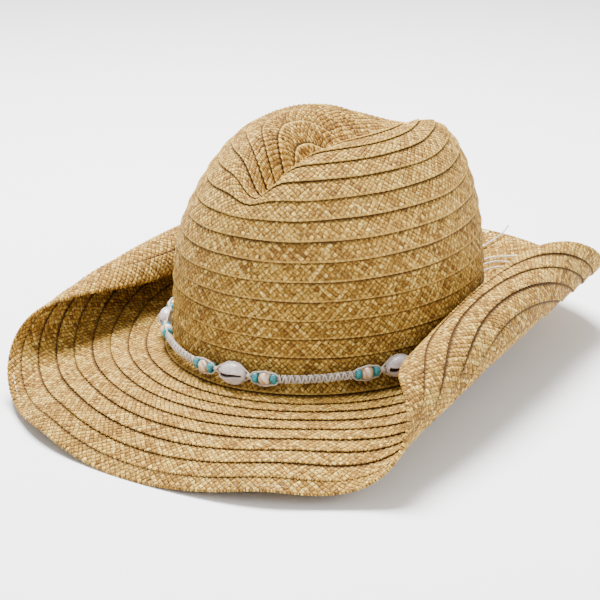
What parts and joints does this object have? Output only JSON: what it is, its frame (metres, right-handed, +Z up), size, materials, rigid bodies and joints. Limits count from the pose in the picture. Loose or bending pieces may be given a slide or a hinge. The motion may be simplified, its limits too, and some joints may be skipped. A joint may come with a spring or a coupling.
{
  "type": "cowboy hat",
  "caption": "Western hat of sewn paper-straw braid with a creased crown, tightly rolled side brims and a loose beaded macrame hatband tied at the back.",
  "frame": {"origin": "centre of the head opening, at the break between crown and brim", "axes": "+Z up the crown, -Y towards the front of the hat, +X towards the right of someone facing the hat's front"},
  "size_m": [0.2514, 0.3824, 0.1506],
  "materials": {
    "straw_braid": "plaited twisted-paper straw, honey with darker flecks, slight sheen",
    "sweatband_cloth": "ribbed cotton-polyester ribbon",
    "spring_wire": "drawn spring wire",
    "joiner_sleeve": "crimped sleeve",
    "turquoise_bead": "polished dyed stone",
    "cream_bead": "polished, faint tan bands",
    "cowrie_shell": "glossy natural shell",
    "waxed_cord": "off-white waxed cotton, twisted"
  },
  "bodies": {
    "hat": {"crown": "straw_braid", "brim": "straw_braid", "edge_wire": "spring_wire", "wire_joiner": "joiner_sleeve", "sweatband": "sweatband_cloth"},
    "hatband": {"core_cord_lower": "waxed_cord", "core_cord_upper": "waxed_cord", "cowrie_1": "cowrie_shell", "cowrie_2": "cowrie_shell", "cowrie_3": "cowrie_shell", "cowrie_4": "cowrie_shell", "cowrie_5": "cowrie_shell", "knot": "waxed_cord", "macrame_1": "waxed_cord", "macrame_2": "waxed_cord", "macrame_3": "waxed_cord", "macrame_4": "waxed_cord", "macrame_5": "waxed_cord", "macrame_6": "waxed_cord", "ring_bead_10a": "turquoise_bead", "ring_bead_10b": "turquoise_bead", "ring_bead_11a": "turquoise_bead", "ring_bead_11b": "turquoise_bead", "ring_bead_12a": "turquoise_bead", "ring_bead_12b": "turquoise_bead", "ring_bead_1a": "turquoise_bead", "ring_bead_1b": "turquoise_bead", "ring_bead_2a": "turquoise_bead", "ring_bead_2b": "turquoise_bead", "ring_bead_3a": "turquoise_bead", "ring_bead_3b": "turquoise_bead", "ring_bead_4a": "turquoise_bead", "ring_bead_4b": "turquoise_bead", "ring_bead_5a": "turquoise_bead", "ring_bead_5b": "turquoise_bead", "ring_bead_6a": "turquoise_bead", "ring_bead_6b": "turquoise_bead", "ring_bead_7a": "turquoise_bead", "ring_bead_7b": "turquoise_bead", "ring_bead_8a": "turquoise_bead", "ring_bead_8b": "turquoise_bead", "ring_bead_9a": "turquoise_bead", "ring_bead_9b": "turquoise_bead", "round_bead_1": "cream_bead", "round_bead_10": "cream_bead", "round_bead_11": "cream_bead", "round_bead_12": "cream_bead", "round_bead_2": "cream_bead", "round_bead_3": "cream_bead", "round_bead_4": "cream_bead", "round_bead_5": "cream_bead", "round_bead_6": "cream_bead", "round_bead_7": "cream_bead", "round_bead_8": "cream_bead", "round_bead_9": "cream_bead", "tail_1": "waxed_cord", "tail_2": "waxed_cord", "tail_3": "waxed_cord", "tail_4": "waxed_cord"}
  },
  "joints": [
    {"name": "hatband_lift", "type": "slide", "parent": "hat", "child": "hatband", "axis": [0, 0, 1], "range_m": [0, 0.009]}
  ]
}
